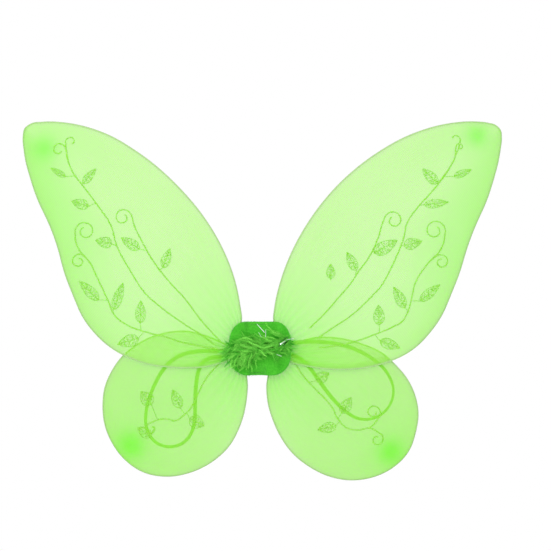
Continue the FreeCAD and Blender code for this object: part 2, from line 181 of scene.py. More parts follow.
def unit(a):
    size = math.hypot(a[0], a[1])
    return (a[0] / size, a[1] / size)


def tangent_through(before, here, after):
    """Direction at here of the circle through three neighbouring points."""
    into = minus(here, before)
    out = minus(after, here)
    weight_in = 1 / dot(into, into)
    weight_out = 1 / dot(out, out)
    return unit((into[0] * weight_in + out[0] * weight_out, into[1] * weight_in + out[1] * weight_out))


def arc_points(start, heading, end, step):
    """Points after start on the arc that leaves start along heading and reaches end."""
    chord = minus(end, start)
    length = math.hypot(chord[0], chord[1])
    angle = math.atan2(heading[0] * chord[1] - heading[1] * chord[0], dot(heading, chord))
    count = max(1, math.ceil(length / step))
    if abs(angle) < 1e-4:
        return [(start[0] + chord[0] * i / count, start[1] + chord[1] * i / count)
                for i in range(1, count + 1)]
    radius = length / (2 * math.sin(angle))
    centre = (start[0] - heading[1] * radius, start[1] + heading[0] * radius)
    points = []
    for i in range(1, count + 1):
        turn = 2 * angle * i / count
        offset = minus(start, centre)
        points.append((centre[0] + offset[0] * math.cos(turn) - offset[1] * math.sin(turn),
                       centre[1] + offset[0] * math.sin(turn) + offset[1] * math.cos(turn)))
    return points


def smooth_run(points, heading, arrival, step=2.0):
    """Two tangent arcs between each pair of points, sampled, with stated directions at both ends."""
    directions = [heading]
    directions += [tangent_through(*three) for three in zip(points, points[1:], points[2:])]
    directions.append(arrival)
    run = [points[0]]
    for i in range(len(points) - 1):
        start, end = points[i], points[i + 1]
        leave, arrive = directions[i], directions[i + 1]
        chord = minus(end, start)
        spread = 2 * (1 - dot(leave, arrive))
        along = dot(chord, (leave[0] + arrive[0], leave[1] + arrive[1]))
        square = dot(chord, chord)
        if spread < 1e-9:
            reach = square / (4 * dot(chord, arrive))
        else:
            reach = (math.sqrt(along * along + spread * square) - along) / spread
        joint = tuple((start[k] + end[k] + reach * (leave[k] - arrive[k])) / 2 for k in (0, 1))
        run += arc_points(start, leave, joint, step)
        back = arc_points(end, (-arrive[0], -arrive[1]), joint, step)
        run += list(reversed(back))[1:] + [end]
    return run


def free_run(points, step=1.0):
    """A smooth run whose end directions follow its own first and last stretches."""
    return smooth_run(points, unit(minus(points[1], points[0])), unit(minus(points[-1], points[-2])), step)


def resample(points, count):
    """count + 1 points at even steps along a run."""
    line = np.array(points, float)
    steps = np.linalg.norm(np.diff(line, axis=0), axis=1)
    along = np.concatenate([[0], np.cumsum(steps)])
    wanted = np.linspace(0, along[-1], count + 1)
    return np.stack([np.interp(wanted, along, line[:, k]) for k in range(line.shape[1])], axis=1)


def curl(end, heading, sense, radius, turn):
    """A spiral that leaves end along heading and tightens to two fifths of its first radius."""
    points = [end]
    angle = math.atan2(heading[1], heading[0])
    total = math.radians(turn)
    turned = 0.0
    step = 0.5
    x, z = end
    while turned < total:
        now = radius * (1 - 0.62 * turned / total)
        angle += sense * step / now
        turned += step / now
        x += step * math.cos(angle)
        z += step * math.sin(angle)
        points.append((x, z))
    return points


# ---- meshes
def make_mesh(name, verts, faces, material, uvs=None, values=None, smooth=True):
    """A mesh object from points in millimetres. uvs has a pair for each point, and values has lists
    of one number for each point, by the name that the material reads them by."""
    mesh = bpy.data.meshes.new(name)
    mesh.from_pydata([(x * MM, y * MM, z * MM) for x, y, z in verts], [], faces)
    mesh.materials.append(material)
    mesh.polygons.foreach_set("use_smooth", [smooth] * len(faces))
    if uvs is not None:
        layer = mesh.uv_layers.new(name="UVMap")
        corner = np.empty(len(mesh.loops), np.int32)
        mesh.loops.foreach_get("vertex_index", corner)
        layer.data.foreach_set("uv", np.asarray(uvs, np.float32)[corner].ravel())
    if values is not None:
        for label, numbers in values.items():
            attribute = mesh.attributes.new(label, "FLOAT", "POINT")
            attribute.data.foreach_set("value", np.asarray(numbers, np.float32))
    mesh.validate()
    obj = bpy.data.objects.new(name, mesh)
    bpy.context.scene.collection.objects.link(obj)
    return obj


def grid_faces(rows, columns, first=0, closed=False):
    """Quads of a grid of rows by columns points; closed joins the last column to the first."""
    faces = []
    last = columns if closed else columns - 1
    for i in range(rows - 1):
        for j in range(last):
            k = (j + 1) % columns
            a = first + i * columns
            faces.append((a + j, a + k, a + columns + k, a + columns + j))
    return faces


@contextmanager
def editing(mesh):
    """The mesh as a bmesh, written back at the end of the block."""
    work = bmesh.new()
    work.from_mesh(mesh)
    yield work
    work.to_mesh(mesh)
    work.free()


def facing_out(obj):
    """Turns every face of a closed mesh outwards."""
    with editing(obj.data) as work:
        bmesh.ops.recalc_face_normals(work, faces=work.faces)
    return obj


def bend_at_hub(piece):
    """Bakes the piece's placement into its mesh."""
    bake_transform(piece)


def frames_along(path):
    """Two unit directions across a 3-D path at each of its points: across, and up, which is near +Y."""
    path = np.array(path, float)
    tangents = np.gradient(path, axis=0)
    tangents /= np.linalg.norm(tangents, axis=1)[:, None]
    out = np.array([0.0, 1.0, 0.0])
    across = np.cross(tangents, out)
    across /= np.linalg.norm(across, axis=1)[:, None]
    up = np.cross(across, tangents)
    return across, up


def tube(path, section):
    """Points and faces of a bar along path. section(share) gives (across, up) pairs in order."""
    across, up = frames_along(path)
    verts = []
    count = len(path)
    for i, point in enumerate(path):
        outline = section(i / (count - 1))
        for a, b in outline:
            verts.append(tuple(np.array(point) + across[i] * a + up[i] * b))
    sides = len(outline)
    faces = grid_faces(count, sides, closed=True)
    faces.append(tuple(range(sides)))
    faces.append(tuple(reversed(range((count - 1) * sides, count * sides))))
    return verts, faces


def ring(radius, sides=10):
    return [(radius * math.cos(2 * math.pi * k / sides), radius * math.sin(2 * math.pi * k / sides))
            for k in range(sides)]


# ---- materials
class Nodes:
    """Short names for building one material's node tree."""

    def __init__(self, name):
        self.material = bpy.data.materials.new(name)
        self.material.use_nodes = True
        self.tree = self.material.node_tree
        self.shader = self.tree.nodes["Principled BSDF"]

    def set(self, **sockets):
        for name, value in sockets.items():
            self.put(self.shader.inputs[name.replace("_", " ")], value)

    def node(self, kind, **settings):
        made = self.tree.nodes.new("ShaderNode" + kind)
        for name, value in settings.items():
            setattr(made, name, value)
        return made

    def put(self, socket, value):
        """Links a socket, or sets it to a number, a vector or a colour of three numbers."""
        if isinstance(value, bpy.types.NodeSocket):
            self.tree.links.new(value, socket)
        elif socket.type == "RGBA":
            socket.default_value = (*value, 1)
        else:
            socket.default_value = value

    def value_of(self, attribute):
        return self.node("Attribute", attribute_name=attribute).outputs["Fac"]

    def place(self, source="Object", scale=(1, 1, 1)):
        """Where each point is, in metres, for the patterns to be laid out over."""
        coordinates = self.node("TexCoord").outputs[source]
        mapping = self.node("Mapping")
        self.put(mapping.inputs["Vector"], coordinates)
        mapping.inputs["Scale"].default_value = scale
        return mapping.outputs["Vector"]

    def noise(self, vector, scale, detail=3, roughness=0.5):
        made = self.node("TexNoise")
        self.put(made.inputs["Vector"], vector)
        made.inputs["Scale"].default_value = scale
        made.inputs["Detail"].default_value = detail
        made.inputs["Roughness"].default_value = roughness
        return made.outputs["Fac"]

    def cells(self, vector, scale):
        """A random colour for each small cell of space."""
        made = self.node("TexVoronoi")
        self.put(made.inputs["Vector"], vector)
        made.inputs["Scale"].default_value = scale
        return made.outputs["Color"]

    def wave(self, vector, scale, direction="X", distortion=0.0):
        made = self.node("TexWave", bands_direction=direction)
        self.put(made.inputs["Vector"], vector)
        made.inputs["Scale"].default_value = scale
        made.inputs["Distortion"].default_value = distortion
        return made.outputs["Fac"]

    def math(self, operation, a, b=0.0):
        made = self.node("Math", operation=operation)
        self.put(made.inputs[0], a)
        self.put(made.inputs[1], b)
        return made.outputs[0]

    def spread(self, value, low, high, to_low, to_high):
        """The value, stretched from one range to another and held inside it."""
        made = self.node("MapRange")
        for index, each in enumerate((value, low, high, to_low, to_high)):
            self.put(made.inputs[index], each)
        return made.outputs[0]

    def blend(self, share, a, b):
        """Colour a at a share of 0, and b at 1."""
        made = self.node("Mix", data_type="RGBA")
        self.put(made.inputs[0], share)
        self.put(made.inputs[6], a)
        self.put(made.inputs[7], b)
        return made.outputs[2]

    def bump(self, height, strength, distance):
        made = self.node("Bump")
        made.inputs["Strength"].default_value = strength
        made.inputs["Distance"].default_value = distance
        self.put(made.inputs["Height"], height)
        return made.outputs["Normal"]


def nylon_material():
    """Sheer hosiery: fine knit ribs, pale where stretched, denser at the rims and where the dye took.
    Painted shade darkens the recessed side of the root's pleats, and the grey round the wire is partly
    painted shade of the wire.
    """
    n = Nodes("sheer_nylon")
    knit = n.place("UV")
    ribs = n.wave(knit, 190, "X", 0.6)
    courses = n.wave(knit, 150, "Y", 0.8)
    loops = n.math("MULTIPLY", ribs, courses)
    streaks = n.noise(n.place("UV", (60, 7, 1)), 6, 4, 0.6)
    cloud = n.noise(knit, 9, 2)
    # the dye value also carries painted shade on the recessed side of each root pleat
    dye_and_fold_shade = n.math("ADD", n.value_of("dye_and_fold_shade"), n.spread(streaks, 0.3, 0.7, -0.05, 0.05))
    edge = n.math("ADD", n.value_of("edge"), n.spread(cloud, 0.3, 0.7, -0.12, 0.12))
    colour = n.blend(edge, (0.42, 0.88, 0.10), (0.345, 0.82, 0.055))
    colour = n.blend(dye_and_fold_shade, colour, (0.21, 0.90, 0.015))
    # grey towards the rims: the wire showing through the nylon folded round it, with painted shade of the
    # wire's shadowed side
    colour = n.blend(n.value_of("wire_fold_and_shade"), colour, (0.45, 0.47, 0.43))
    cover = n.math("ADD", n.spread(dye_and_fold_shade, 0.0, 1.0, 0.42, 0.66), n.spread(edge, 0.0, 1.0, 0.0, 0.115))
    cover = n.math("ADD", cover, n.spread(edge, -1.0, 0.0, -0.17, 0.0))
    cover = n.math("ADD", cover, n.spread(loops, 0.0, 0.6, -0.03, 0.03))
    n.set(Base_Color=colour, Alpha=cover, Roughness=0.62, Normal=n.bump(loops, 0.25, 0.0002),
          Sheen_Weight=0.06, Sheen_Roughness=0.4, Specular_IOR_Level=0.2)
    return n.material


def wire_material():
    n = Nodes("coated_wire")
    mottle = n.noise(n.place(), 900, 3)
    colour = n.blend(mottle, (0.56, 0.70, 0.44), (0.68, 0.80, 0.56))
    n.set(Base_Color=colour, Roughness=n.spread(mottle, 0.3, 0.7, 0.28, 0.42),
          Normal=n.bump(mottle, 0.1, 0.0001))
    return n.material


def glitter_material():
    """Dried glue with flakes: clear green gel, each flake its own tone and tilt, and about one in ten
    painted pale as a glint.
    """
    n = Nodes("glitter_glue")
    flakes = n.cells(n.place(), 2600)
    split = n.node("SeparateColor")
    n.put(split.inputs[0], flakes)
    shade = split.outputs[0]
    # about one flake in ten is painted pale: a painted glint of light off the glitter
    painted_glint = n.math("GREATER_THAN", split.outputs[1], 0.90)
    body = n.blend(shade, (0.24, 0.84, 0.01), (0.42, 0.97, 0.05))
    colour = n.blend(painted_glint, body, (0.80, 0.98, 0.45))
    n.set(Base_Color=colour, Alpha=0.74, Roughness=n.spread(shade, 0, 1, 0.25, 0.5),
          Normal=n.bump(shade, 0.25, 0.0002), Coat_Weight=0.1, Coat_Roughness=0.3)
    return n.material


def felt_material(name, dark, light):
    """Pressed wool felt: matted fibres, soft sheen and a faint mottle."""
    n = Nodes(name)
    fibres = n.noise(n.place("Object", (900, 900, 260)), 1.4, 6, 0.7)
    across = n.noise(n.place("Object", (260, 900, 900)), 1.4, 6, 0.7)
    mottle = n.noise(n.place(), 70, 3)
    both = n.math("MULTIPLY", fibres, across)
    tone = n.math("ADD", n.spread(both, 0.12, 0.42, 0.0, 0.75), n.spread(mottle, 0.3, 0.7, -0.1, 0.25))
    n.set(Base_Color=n.blend(tone, dark, light), Roughness=0.95, Normal=n.bump(both, 0.8, 0.0008),
          Sheen_Weight=0.2, Sheen_Roughness=0.5, Specular_IOR_Level=0.1)
    return n.material


def down_material():
    """Marabou: each barb has its own tone, and painted shade darkens it towards its root, deep in the down.
    """
    n = Nodes("marabou_down")
    # the shade value holds each barb's tone together with painted shade towards its root
    shade = n.value_of("shade")
    mottle = n.noise(n.place(), 420, 3)
    tone = n.math("ADD", shade, n.spread(mottle, 0.3, 0.7, -0.12, 0.12))
    colour = n.blend(tone, (0.025, 0.40, 0.010), (0.32, 0.98, 0.13))
    n.set(Base_Color=colour, Roughness=0.75, Sheen_Weight=0.08, Sheen_Roughness=0.4,
          Specular_IOR_Level=0.1)
    return n.material


def tinsel_material(name, dark, light):
    """Metallised film: a bright sheet whose tone follows its ripples as painted reflection, with the same
    ripples as bumps.
    """
    n = Nodes(name)
    tilt = n.noise(n.place(), 260, 2)
    # the base tone follows the ripple noise: painted reflection on the film
    n.set(Base_Color=n.blend(tilt, dark, light), Metallic=1.0, Roughness=0.16,
          Normal=n.bump(tilt, 0.4, 0.0006))
    return n.material


def elastic_material():
    """Flat woven elastic: rubber cords under a thread cover, so ribs run along it."""
    n = Nodes("woven_elastic")
    place = n.place("UV")
    ribs = n.wave(place, 500, "Y")
    picks = n.wave(place, 330, "X", 1.0)
    weave = n.math("MULTIPLY", ribs, n.spread(picks, 0, 1, 0.55, 1.0))
    wear = n.noise(n.place(), 130, 3)
    tone = n.math("ADD", n.spread(weave, 0, 1, 0.0, 0.7), n.spread(wear, 0.3, 0.7, -0.1, 0.25))
    colour = n.blend(tone, (0.13, 0.73, 0.19), (0.31, 0.94, 0.40))
    n.set(Base_Color=colour, Roughness=0.7, Normal=n.bump(weave, 0.7, 0.0004), Sheen_Weight=0.2)
    return n.material


def thread_material(name, dark, light):
    """Twisted thread: slanting plies with a dull shine."""
    n = Nodes(name)
    place = n.place()
    plies = n.wave(place, 420, "DIAGONAL", 1.5)
    fuzz = n.noise(place, 1500, 3)
    tone = n.math("ADD", n.spread(plies, 0, 1, 0, 0.7), n.spread(fuzz, 0.3, 0.7, -0.1, 0.25))
    n.set(Base_Color=n.blend(tone, dark, light), Roughness=0.6, Normal=n.bump(plies, 0.6, 0.0003),
          Sheen_Weight=0.2)
    return n.material


NYLON = nylon_material()
WIRE = wire_material()
GLITTER = glitter_material()
FELT = felt_material("green_felt", (0.030, 0.36, 0.010), (0.11, 0.68, 0.040))
DOWN = down_material()
SILVER_FILM = tinsel_material("silver_film", (0.72, 0.80, 0.78), (0.97, 0.98, 0.97))
# dark green film, set where a shadow gap lies beside the silver strands: partly a dark tinsel, partly
# painted shade
DARK_FILM_AND_SHADE = tinsel_material("dark_film_and_shade", (0.010, 0.05, 0.012), (0.06, 0.22, 0.05))
ELASTIC = elastic_material()
THREAD = thread_material("green_thread", (0.03, 0.30, 0.015), (0.12, 0.55, 0.06))
TAPE = felt_material("cloth_tape", (0.05, 0.33, 0.03), (0.12, 0.50, 0.07))


# ---- camera
VIEW_WIDTH = 0.6475         # what the frame takes in at the wings, metres
VIEW_CENTRE = (0.0211, 0.0858)
VIEW_PLANE_Y = -0.008
camera = bpy.data.cameras.new("camera")
camera.lens = 100
camera.sensor_width = 36
camera_object = bpy.data.objects.new("camera", camera)
distance = VIEW_WIDTH / 2 / (camera.sensor_width / 2 / camera.lens)
camera_object.location = (VIEW_CENTRE[0], VIEW_PLANE_Y - distance, VIEW_CENTRE[1])
camera_object.rotation_euler = (math.pi / 2, 0, 0)
bpy.context.scene.collection.objects.link(camera_object)
bpy.context.scene.camera = camera_object


# ---- arm loops
def nurbs_line(points):
    """Even points of the smooth line that takes these as its control points, in metres."""
    curve = bpy.data.curves.new("route", "CURVE")
    curve.dimensions = "3D"
    curve.resolution_u = 16
    spline = curve.splines.new("NURBS")
    spline.points.add(len(points) - 1)
    for point, place in zip(spline.points, points):
        point.co = (*place, 1)
    spline.order_u = 3
    spline.use_endpoint_u = True
    holder = bpy.data.objects.new("route", curve)
    bpy.context.scene.collection.objects.link(holder)
    bpy.context.view_layer.update()
    mesh = bpy.data.meshes.new_from_object(holder)
    line = [tuple(vertex.co) for vertex in mesh.vertices]
    bpy.data.objects.remove(holder)
    bpy.data.meshes.remove(mesh)
    return line


def band_twist(share):
    """How far the band is turned on its edge: flat at both sewn ends, most at the far bend."""
    return math.radians(52) * math.sin(math.pi * share) ** 3


def arm_loop(side, route):
    """A flat elastic band with seven rubber cords in it, along its route behind a lower wing."""
    name = SIDE_NAMES[side] + "_arm_loop"
    steps = 260
    steps_across = 28
    cords = 7
    rib_depth = 0.07
    line = np.array(nurbs_line([(x * MM, STRAP_Y * MM, z * MM) for x, z in route])) / MM
    line = resample(line, steps)
    for i, point in enumerate(line):
        twist = band_twist(i / steps)
        point[1] += 0.5 * STRAP_WIDTH * math.sin(twist) - 0.2 * (1 - math.cos(twist))

    def section(share):
        twist = band_twist(share)
        half = STRAP_WIDTH / 2
        thick = STRAP_THICKNESS / 2
        top = []
        for k in range(steps_across + 1):
            across = -half + STRAP_WIDTH * k / steps_across
            round_off = math.sqrt(max(0.0, 1 - (abs(across) / half) ** 6))
            rib = rib_depth * math.cos(2 * math.pi * cords * k / steps_across)
            top.append((across, (thick - rib_depth - rib) * (0.25 + 0.75 * round_off)))
        outline = top + [(a, -b) for a, b in reversed(top)]
        return [(a * math.cos(twist) - b * math.sin(twist), a * math.sin(twist) + b * math.cos(twist))
                for a, b in outline]

    verts, faces = tube(line, section)
    sides = len(verts) // len(line)
    along = np.concatenate([[0], np.cumsum(np.linalg.norm(np.diff(line, axis=0), axis=1))])
    uvs = [(distance * MM, STRAP_WIDTH * (k % (steps_across + 1)) / steps_across * MM)
           for distance in along for k in range(sides)]
    band = make_mesh(name + "_elastic", verts, faces, ELASTIC, uvs)
    facing_out(band)
    bend_at_hub(band)
    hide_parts(name)


arm_loop(-1, LEFT_STRAP)
arm_loop(1, RIGHT_STRAP)


# ---- wings
def wing_run(points, side, level):
    """The wire's centre line in the wing's plane, from leg end to leg end."""
    outer = (side * LEG_END_X, level * OUTER_LEG_Z)
    inner = (side * LEG_END_X, level * INNER_LEG_Z)
    outer_neck = (side * NECK_X, level * OUTER_LEG_Z)
    inner_neck = (side * NECK_X, level * INNER_LEG_Z)
    loop = smooth_run([outer_neck] + points + [inner_neck], (side, 0), (-side, 0))
    return [outer] + loop + [inner]


def attach_wing_piece(piece, wing, side):
    """A lower wing's pieces go under that wing's body; an upper wing's pieces are baked where they stand.
    """
    side_name = SIDE_NAMES[side]
    if wing.startswith("lower"):
        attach(piece, f"lower_{side_name}_wing")
        return
    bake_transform(piece)


def wire_frame(wing, run, plane, side):
    """The bent wire, coated, all round the wing and down both legs."""
    path = [(x, plane, z) for x, z in resample(run, int(len(run) * 0.9))]
    verts, faces = tube(path, lambda share: ring(WIRE_R))
    piece = facing_out(make_mesh(wing + "_wire", verts, faces, WIRE))
    attach_wing_piece(piece, wing, side)
    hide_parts(wing + "_wire_frame")


ROWS = 150                  # a skin's mesh, from its root to its tip
COLUMNS = 96                # and from its leading edge to its trailing one
SKIN_PATTERN = (0.20, 0.42)  # the size that the knit pattern is laid out over, metres
PLEATS = 13
PLEAT_DEPTH = 0.6
PLEATS_START = 12           # the gathers fade from this far from the root
PLEATS_FADE = 48
RIPPLE_DEPTH = 0.16
LAYERS_CLOSE_BY = 0.55      # how far each layer draws in from the wire's face to the wing's plane
LAYERS_CLOSE_OVER = 9
STRIP_ARCS = 6              # the mesh's steps round the wire


ROOT_DYE_REACH = 88
PAD_DYE_REACH = 30


def dye_at(wing, x, z, root, share):
    """How strongly the nylon is dyed: more at the gathered root, at one spot near the tip and, on an
    upper wing, along the trailing side."""
    near_root = math.exp(-(math.dist((x, z), root) / ROOT_DYE_REACH) ** 1.5)
    spot_x, spot_z, reach = DYE_SPOTS[wing]
    away = math.dist((x, z), (spot_x, spot_z))
    from_pad = max(0.0, math.dist((x, z), (PAD_CENTRE_X, 0)) - PAD_DYE_REACH)
    at_pad = math.exp(-from_pad / PAD_DYE_REACH)
    if wing.startswith("lower"):
        strength = 1 - 0.55 * sheer_top(x, z)
        spot = 0.72 * math.exp(-(away / reach) ** 2) + 0.34 * math.exp(-away / (2.9 * reach))
        trailing = 0.0
    else:
        strength = 1.0
        spot = 0.55 * math.exp(-(away / reach) ** 2) + 0.30 * math.exp(-away / (2.9 * reach))
        from_root = math.dist((x, z), root)
        trailing = ease((share - 0.45) / 0.4) * (0.10 + 0.17 * math.exp(-((from_root - 255) / 75) ** 2))
    return (0.32 * near_root + 0.36 * at_pad) * strength + spot + trailing


def ease(share):
    """0 to 1 with level ends, held outside that range."""
    share = min(1.0, max(0.0, share))
    return share * share * (3 - 2 * share)


def sheer_top(x, z):
    """0 below the upper wing, 1 in the part of a lower wing that lies behind the upper one at rest."""
    upper_rim = -25 + 0.0034 * (abs(x) - 98) ** 2
    return ease((z - upper_rim) / 9)


def edge_at(level, share, inset, reach, x, z):
    """How dense the knit is: the small wings are stretched less, and outer rims less than middles."""
    if level < 0:
        inner = ease((75 - abs(x)) / 45)
        base = 0.78 - 1.6 * sheer_top(x, z) - 0.3 * inner
        rim = max(0.0, 1 - sheer_top(x, z) - inner)
    else:
        base = 0.06
        rim = 0.8 * share * min(1.0, reach / 190)
    return base + (1.0 - base) * rim * math.exp(-inset / 17)


def nylon_skin(wing, run, plane, side, level):
    """A stocking over the loop: two stretched layers that meet round the wire."""
    root = (side * LEG_END_X, level * ROOT_Z)
    far = max(range(len(run)), key=lambda i: math.dist(run[i], root))
    leading = resample(run[:far + 1], ROWS)
    trailing = resample(list(reversed(run[far:])), ROWS)
    front, back, uvs, dyes_and_fold_shades, edges, wire_fold_and_shades = [], [], [], [], [], []
    for i in range(ROWS + 1):
        for j in range(COLUMNS + 1):
            share = j / COLUMNS
            x, z = leading[i] * (1 - share) + trailing[i] * share
            width = math.dist(leading[i], trailing[i])
            inset = min(share, 1 - share) * width
            reach = math.dist((x, z), root)
            cling = LAYERS_CLOSE_BY * (1 - math.exp(-inset / LAYERS_CLOSE_OVER))
            fade = math.exp(-max(0.0, reach - PLEATS_START) / PLEATS_FADE) * min(1.0, inset / 4)
            wander = noise.noise((x * 0.012, z * 0.012, level * 3.0))
            pleat = math.sin(2 * math.pi * PLEATS * share + 2.5 * wander)
            ripple = RIPPLE_DEPTH * noise.noise((x * 0.02, 5.0 * level, z * 0.02)) * min(1.0, inset / 20)
            relief = PLEAT_DEPTH * fade * pleat + ripple
            front.append((x, plane - SKIN_R + cling + relief, z))
            back.append((x, plane + SKIN_R - cling + relief, z))
            uvs.append((share * SKIN_PATTERN[0], i / ROWS * SKIN_PATTERN[1]))
            # the pleat term darkens the recessed side of each fold: painted shade of the gathers
            dyes_and_fold_shades.append(dye_at(wing, x, z, root, share) + 0.12 * fade * pleat)
            edges.append(edge_at(level, share, inset, reach, x, z))
            # a thin grey band just inside each rim, partly painted shade of the wire
            wire_fold_and_shades.append(0.3 * math.exp(-inset / 1.6) * (1 - sheer_top(x, z) * (level < 0)))
    count = len(front)
    across = COLUMNS + 1
    verts = front + back
    faces = grid_faces(ROWS + 1, across) + [tuple(reversed(f)) for f in grid_faces(ROWS + 1, across, count)]
    uvs, dyes_and_fold_shades, edges, wire_fold_and_shades = uvs + uvs, dyes_and_fold_shades + dyes_and_fold_shades, edges + edges, wire_fold_and_shades + wire_fold_and_shades
    for column, edge, dense in ((0, leading, 0.1), (COLUMNS, trailing, 0.6)):
        centre_line = np.array(edge)
        tangents = np.gradient(centre_line, axis=0)
        tangents /= np.linalg.norm(tangents, axis=1)[:, None]
        outward = np.stack([tangents[:, 1], -tangents[:, 0]], axis=1)
        middle = np.array(leading[ROWS // 2] + trailing[ROWS // 2]) / 2
        if dot(outward[ROWS // 2], minus(centre_line[ROWS // 2], middle)) < 0:
            outward = -outward
        strips = [[i * across + column for i in range(ROWS + 1)]]
        for step in range(1, STRIP_ARCS):
            angle = math.pi * step / STRIP_ARCS
            strip = []
            for i in range(ROWS + 1):
                out = SKIN_R * math.sin(angle)
                strip.append(len(verts))
                verts.append((centre_line[i][0] + outward[i][0] * out, plane - SKIN_R * math.cos(angle),
                              centre_line[i][1] + outward[i][1] * out))
                uvs.append((SKIN_PATTERN[0] * (column > 0) + 0.002 * step, i / ROWS * SKIN_PATTERN[1]))
                dyes_and_fold_shades.append(dye_at(wing, *centre_line[i], root, column / COLUMNS))
                x, z = centre_line[i]
                top = sheer_top(x, z) if level < 0 else 0.0
                over = min(1.0, max(0.0, (5 - z) / 15)) if level > 0 else 0.0
                edges.append((0.8 if level < 0 else dense) - 1.5 * max(top, over))
                # round the wire the grey is strongest: folded nylon with painted shade of the wire's
                # shadowed side
                wire_fold_and_shades.append((0.9 - 0.6 * max(top, over)) * math.sin(angle) ** 1.5)
            strips.append(strip)
        strips.append([count + i * across + column for i in range(ROWS + 1)])
        for first, second in zip(strips, strips[1:]):
            for i in range(ROWS):
                faces.append((first[i], second[i], second[i + 1], first[i + 1]))
    piece = make_mesh(wing + "_nylon", verts, faces, NYLON, uvs,
                      {"dye_and_fold_shade": dyes_and_fold_shades, "edge": edges, "wire_fold_and_shade": wire_fold_and_shades})
    with editing(piece.data) as work:
        bmesh.ops.remove_doubles(work, verts=work.verts, dist=SEAM)
        bmesh.ops.recalc_face_normals(work, faces=work.faces)
    surface = BVHTree.FromPolygons([Vector(v) for v in front], grid_faces(ROWS + 1, across))
    attach_wing_piece(piece, wing, side)
    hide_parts(wing + "_nylon_skin")
    return piece, surface


def glitter_vines(wing, surface, plane, side):
    """Beads of glitter glue along stems, curls and leaves, each a small flattened dome."""
    draw = random.Random("vines " + wing)
    verts, faces = [], []

    def bead(x, z, radius, height):
        hit = surface.ray_cast(Vector((x, plane - 20, z)), Vector((0, 1, 0)))[0]
        if hit is None:
            return
        base = len(verts)
        sides = 7
        spin = draw.random() * 2 * math.pi
        for share, rise in ((1.0, -0.1), (0.72, 0.62)):
            for k in range(sides):
                angle = spin + 2 * math.pi * k / sides
                verts.append((x + radius * share * math.cos(angle), hit.y - height * rise,
                              z + radius * share * math.sin(angle)))
        verts.append((x, hit.y - height, z))
        verts.append((x, hit.y + 0.1, z))
        for k in range(sides):
            n = (k + 1) % sides
            faces.append((base + k, base + n, base + sides + n, base + sides + k))
            faces.append((base + sides + k, base + sides + n, base + 2 * sides))
            faces.append((base + n, base + k, base + 2 * sides + 1))

    def line(points, radius, spacing):
        length = sum(math.dist(a, b) for a, b in zip(points, points[1:]))
        wobble = radius * 0.35
        for x, z in resample(points, max(2, int(length / spacing))):
            bead(x + draw.uniform(-wobble, wobble), z + draw.uniform(-wobble, wobble),
                 radius * draw.uniform(0.75, 1.25), 0.45 * draw.uniform(0.8, 1.2))

    def leaf(tip, base, width, joint):
        line([joint, base], 0.55, 0.95)
        axis = unit(minus(tip, base))
        side_way = (-axis[1], axis[0])
        length = math.dist(tip, base)

        def at(along, across):
            return (base[0] + axis[0] * along * length + side_way[0] * across,
                    base[1] + axis[1] * along * length + side_way[1] * across)

        def half_width(along):
            return width / 2 * math.sin(math.pi * along ** 0.72) ** 0.8

        line([at(k / 10, 0) for k in range(11)], 0.55, 1.1)
        for sign in (-1, 1):
            line([at(k / 14, sign * half_width(k / 14)) for k in range(15)], 0.5, 1.0)
            for along in (0.2, 0.4, 0.6):
                line([at(along, 0), at(along + 0.16, sign * half_width(along + 0.16))], 0.45, 1.1)
        for _ in range(int(length * width * 0.6)):
            along, across = draw.random(), draw.uniform(-1, 1)
            bead(*at(along, across * half_width(along) * 0.95), draw.uniform(0.35, 0.65), 0.3)

    for stem, curls in VINES[wing]["stems"]:
        run = free_run(stem)
        line(run, 0.85, 0.8)
        heading = unit(minus(run[-1], run[-3]))
        for number, (sense, radius, turn) in enumerate(curls):
            tilt = sense * math.radians(70) * number
            leave = (heading[0] * math.cos(tilt) - heading[1] * math.sin(tilt),
                     heading[0] * math.sin(tilt) + heading[1] * math.cos(tilt))
            line(curl(run[-1], leave, sense, radius, turn), 0.8, 0.9)
    for each in VINES[wing]["leaves"]:
        leaf(*each)
    piece = make_mesh(wing + "_glitter_vines", verts, faces, GLITTER)
    attach_wing_piece(piece, wing, side)
    return piece


WINGS = [("upper_left", UPPER_LEFT, -1, 1, UPPER_PLANE_Y, (0.17, 0.33)),
         ("upper_right", UPPER_RIGHT, 1, 1, UPPER_PLANE_Y, (0.17, 0.33)),
         ("lower_left", LOWER_LEFT, -1, -1, LOWER_PLANE_Y, (0.12, 0.22)),
         ("lower_right", LOWER_RIGHT, 1, -1, LOWER_PLANE_Y, (0.12, 0.22))]
for wing, points, side, level, plane, flat in WINGS:
    run = wing_run(points, side, level)
    wire_frame(wing, run, plane, side)
    skin, surface = nylon_skin(wing, run, plane, side, level)
    vines = glitter_vines(wing, surface, plane, side)


# ---- felt pads
def pad_outline():
    """The octagon with bowed corners, from the middle of the top edge, clockwise from the front."""
    right, left = [], []
    for side, corners in ((1, right), (-1, left)):
        corners += [(PAD_CENTRE_X + side * PAD_TOP_FLAT, PAD_HALF_HEIGHT),
                    (PAD_CENTRE_X + side * PAD_HALF_WIDTH, PAD_SIDE_FLAT),
                    (PAD_CENTRE_X + side * PAD_HALF_WIDTH, -PAD_SIDE_FLAT),
                    (PAD_CENTRE_X + side * PAD_BOTTOM_FLAT, -PAD_HALF_HEIGHT)]
    run = smooth_run(right[:2], (1, 0), (0, -1)) + smooth_run(right[2:], (0, -1), (-1, 0))
    run += smooth_run([left[3], left[2]], (-1, 0), (0, 1)) + smooth_run([left[1], left[0]], (0, 1), (1, 0))
    return resample(run + [run[0]], 240)[:-1]


